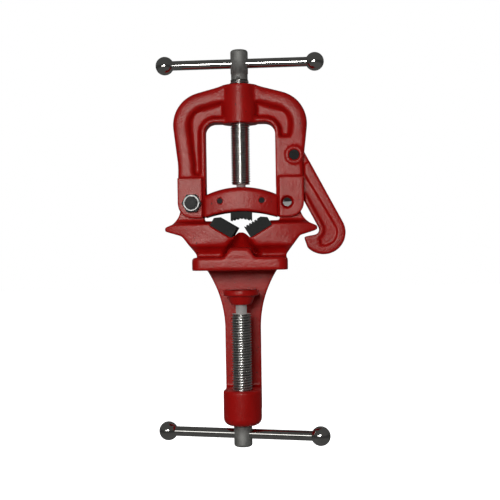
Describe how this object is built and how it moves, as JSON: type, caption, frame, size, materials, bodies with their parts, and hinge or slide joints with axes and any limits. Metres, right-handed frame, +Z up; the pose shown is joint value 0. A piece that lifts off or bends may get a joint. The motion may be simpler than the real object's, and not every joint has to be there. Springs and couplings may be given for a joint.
{
  "type": "yoke pipe vise",
  "caption": "Bench-clamping pipe vise: hinged, hook-latched yoke with screw-driven toothed jaw over a vee of toothed jaws, and a screw clamp for the bench edge.",
  "frame": {"origin": "where the clamp screw's axis meets the seat face under the shelf, the face that lies on the bench top", "axes": "+Z up along both screws, +Y away from the bench's edge along the gripped pipe, +X to the right with the hook on the right"},
  "size_m": [0.1889, 0.0933, 0.3895],
  "materials": {
    "red_enamel": "satin",
    "black_jaw_steel": "matt black oxide",
    "bright_screw_steel": "turned bright steel",
    "polished_handle_steel": "polished",
    "zinc_fastener": "zinc plated",
    "black_insert": "matt",
    "dark_pin_steel": "black oxide",
    "plain_pin_steel": "plain"
  },
  "bodies": {
    "base": {"base_casting": "red_enamel", "lower_jaw_left": "black_jaw_steel", "lower_jaw_right": "black_jaw_steel", "lower_jaw_pin_left": "plain_pin_steel", "lower_jaw_pin_right": "plain_pin_steel", "hinge_bolt": "zinc_fastener", "hinge_nut": "zinc_fastener", "hinge_nut_insert": "black_insert"},
    "yoke": {"yoke_frame": "red_enamel", "hook_pin": "dark_pin_steel", "closing_pin": "plain_pin_steel"},
    "hook": {"latch_hook": "red_enamel"},
    "carrier": {"jaw_carrier": "red_enamel", "upper_jaw": "black_jaw_steel", "upper_jaw_pin_left": "dark_pin_steel", "upper_jaw_pin_right": "dark_pin_steel"},
    "main_screw": {"main_screw": "bright_screw_steel", "nose_washer": "plain_pin_steel", "nose_clip": "plain_pin_steel"},
    "main_handle": {"main_handle_bar": "polished_handle_steel", "main_handle_ball_left": "polished_handle_steel", "main_handle_ball_right": "polished_handle_steel"},
    "pad": {"clamp_pad": "red_enamel", "pad_pin": "plain_pin_steel"},
    "clamp_screw": {"clamp_screw": "bright_screw_steel"},
    "clamp_handle": {"clamp_handle_bar": "polished_handle_steel", "clamp_handle_ball_left": "polished_handle_steel", "clamp_handle_ball_right": "polished_handle_steel"}
  },
  "joints": [
    {"name": "yoke_open", "type": "hinge", "parent": "base", "child": "yoke", "pos_m": [-0.0482, 0.042, 0.066], "axis": [0, -1, 0], "range_deg": [0, 90]},
    {"name": "hook_swing", "type": "hinge", "parent": "yoke", "child": "hook", "pos_m": [0.0537, 0.042, 0.113], "axis": [0, -1, 0], "range_deg": [0, 70]},
    {"name": "carrier_feed", "type": "slide", "parent": "yoke", "child": "carrier", "axis": [0, 0, 1], "range_m": [-0.0008, 0.06]},
    {"name": "main_screw_turn", "type": "hinge", "parent": "carrier", "child": "main_screw", "pos_m": [0, 0.042, 0.18], "axis": [0, 0, 1], "range_deg": [-115.2, 8640]},
    {"name": "main_handle_slide", "type": "slide", "parent": "main_screw", "child": "main_handle", "axis": [0.9986, -0.0523, 0], "range_m": [-0.057, 0.057]},
    {"name": "pad_feed", "type": "slide", "parent": "base", "child": "pad", "axis": [0, 0, 1], "range_m": [-0.07, 0]},
    {"name": "clamp_screw_turn", "type": "hinge", "parent": "pad", "child": "clamp_screw", "pos_m": [0, 0, -0.1], "axis": [0, 0, 1], "range_deg": [-10080, 0]},
    {"name": "clamp_handle_slide", "type": "slide", "parent": "clamp_screw", "child": "clamp_handle", "axis": [0.9744, -0.225, 0], "range_m": [-0.057, 0.057]}
  ],
  "couplings": [
    {"joint": "carrier_feed", "follows": "main_screw_turn", "m_per_rad": 0.00039788},
    {"joint": "pad_feed", "follows": "clamp_screw_turn", "m_per_rad": 0.00039788}
  ]
}
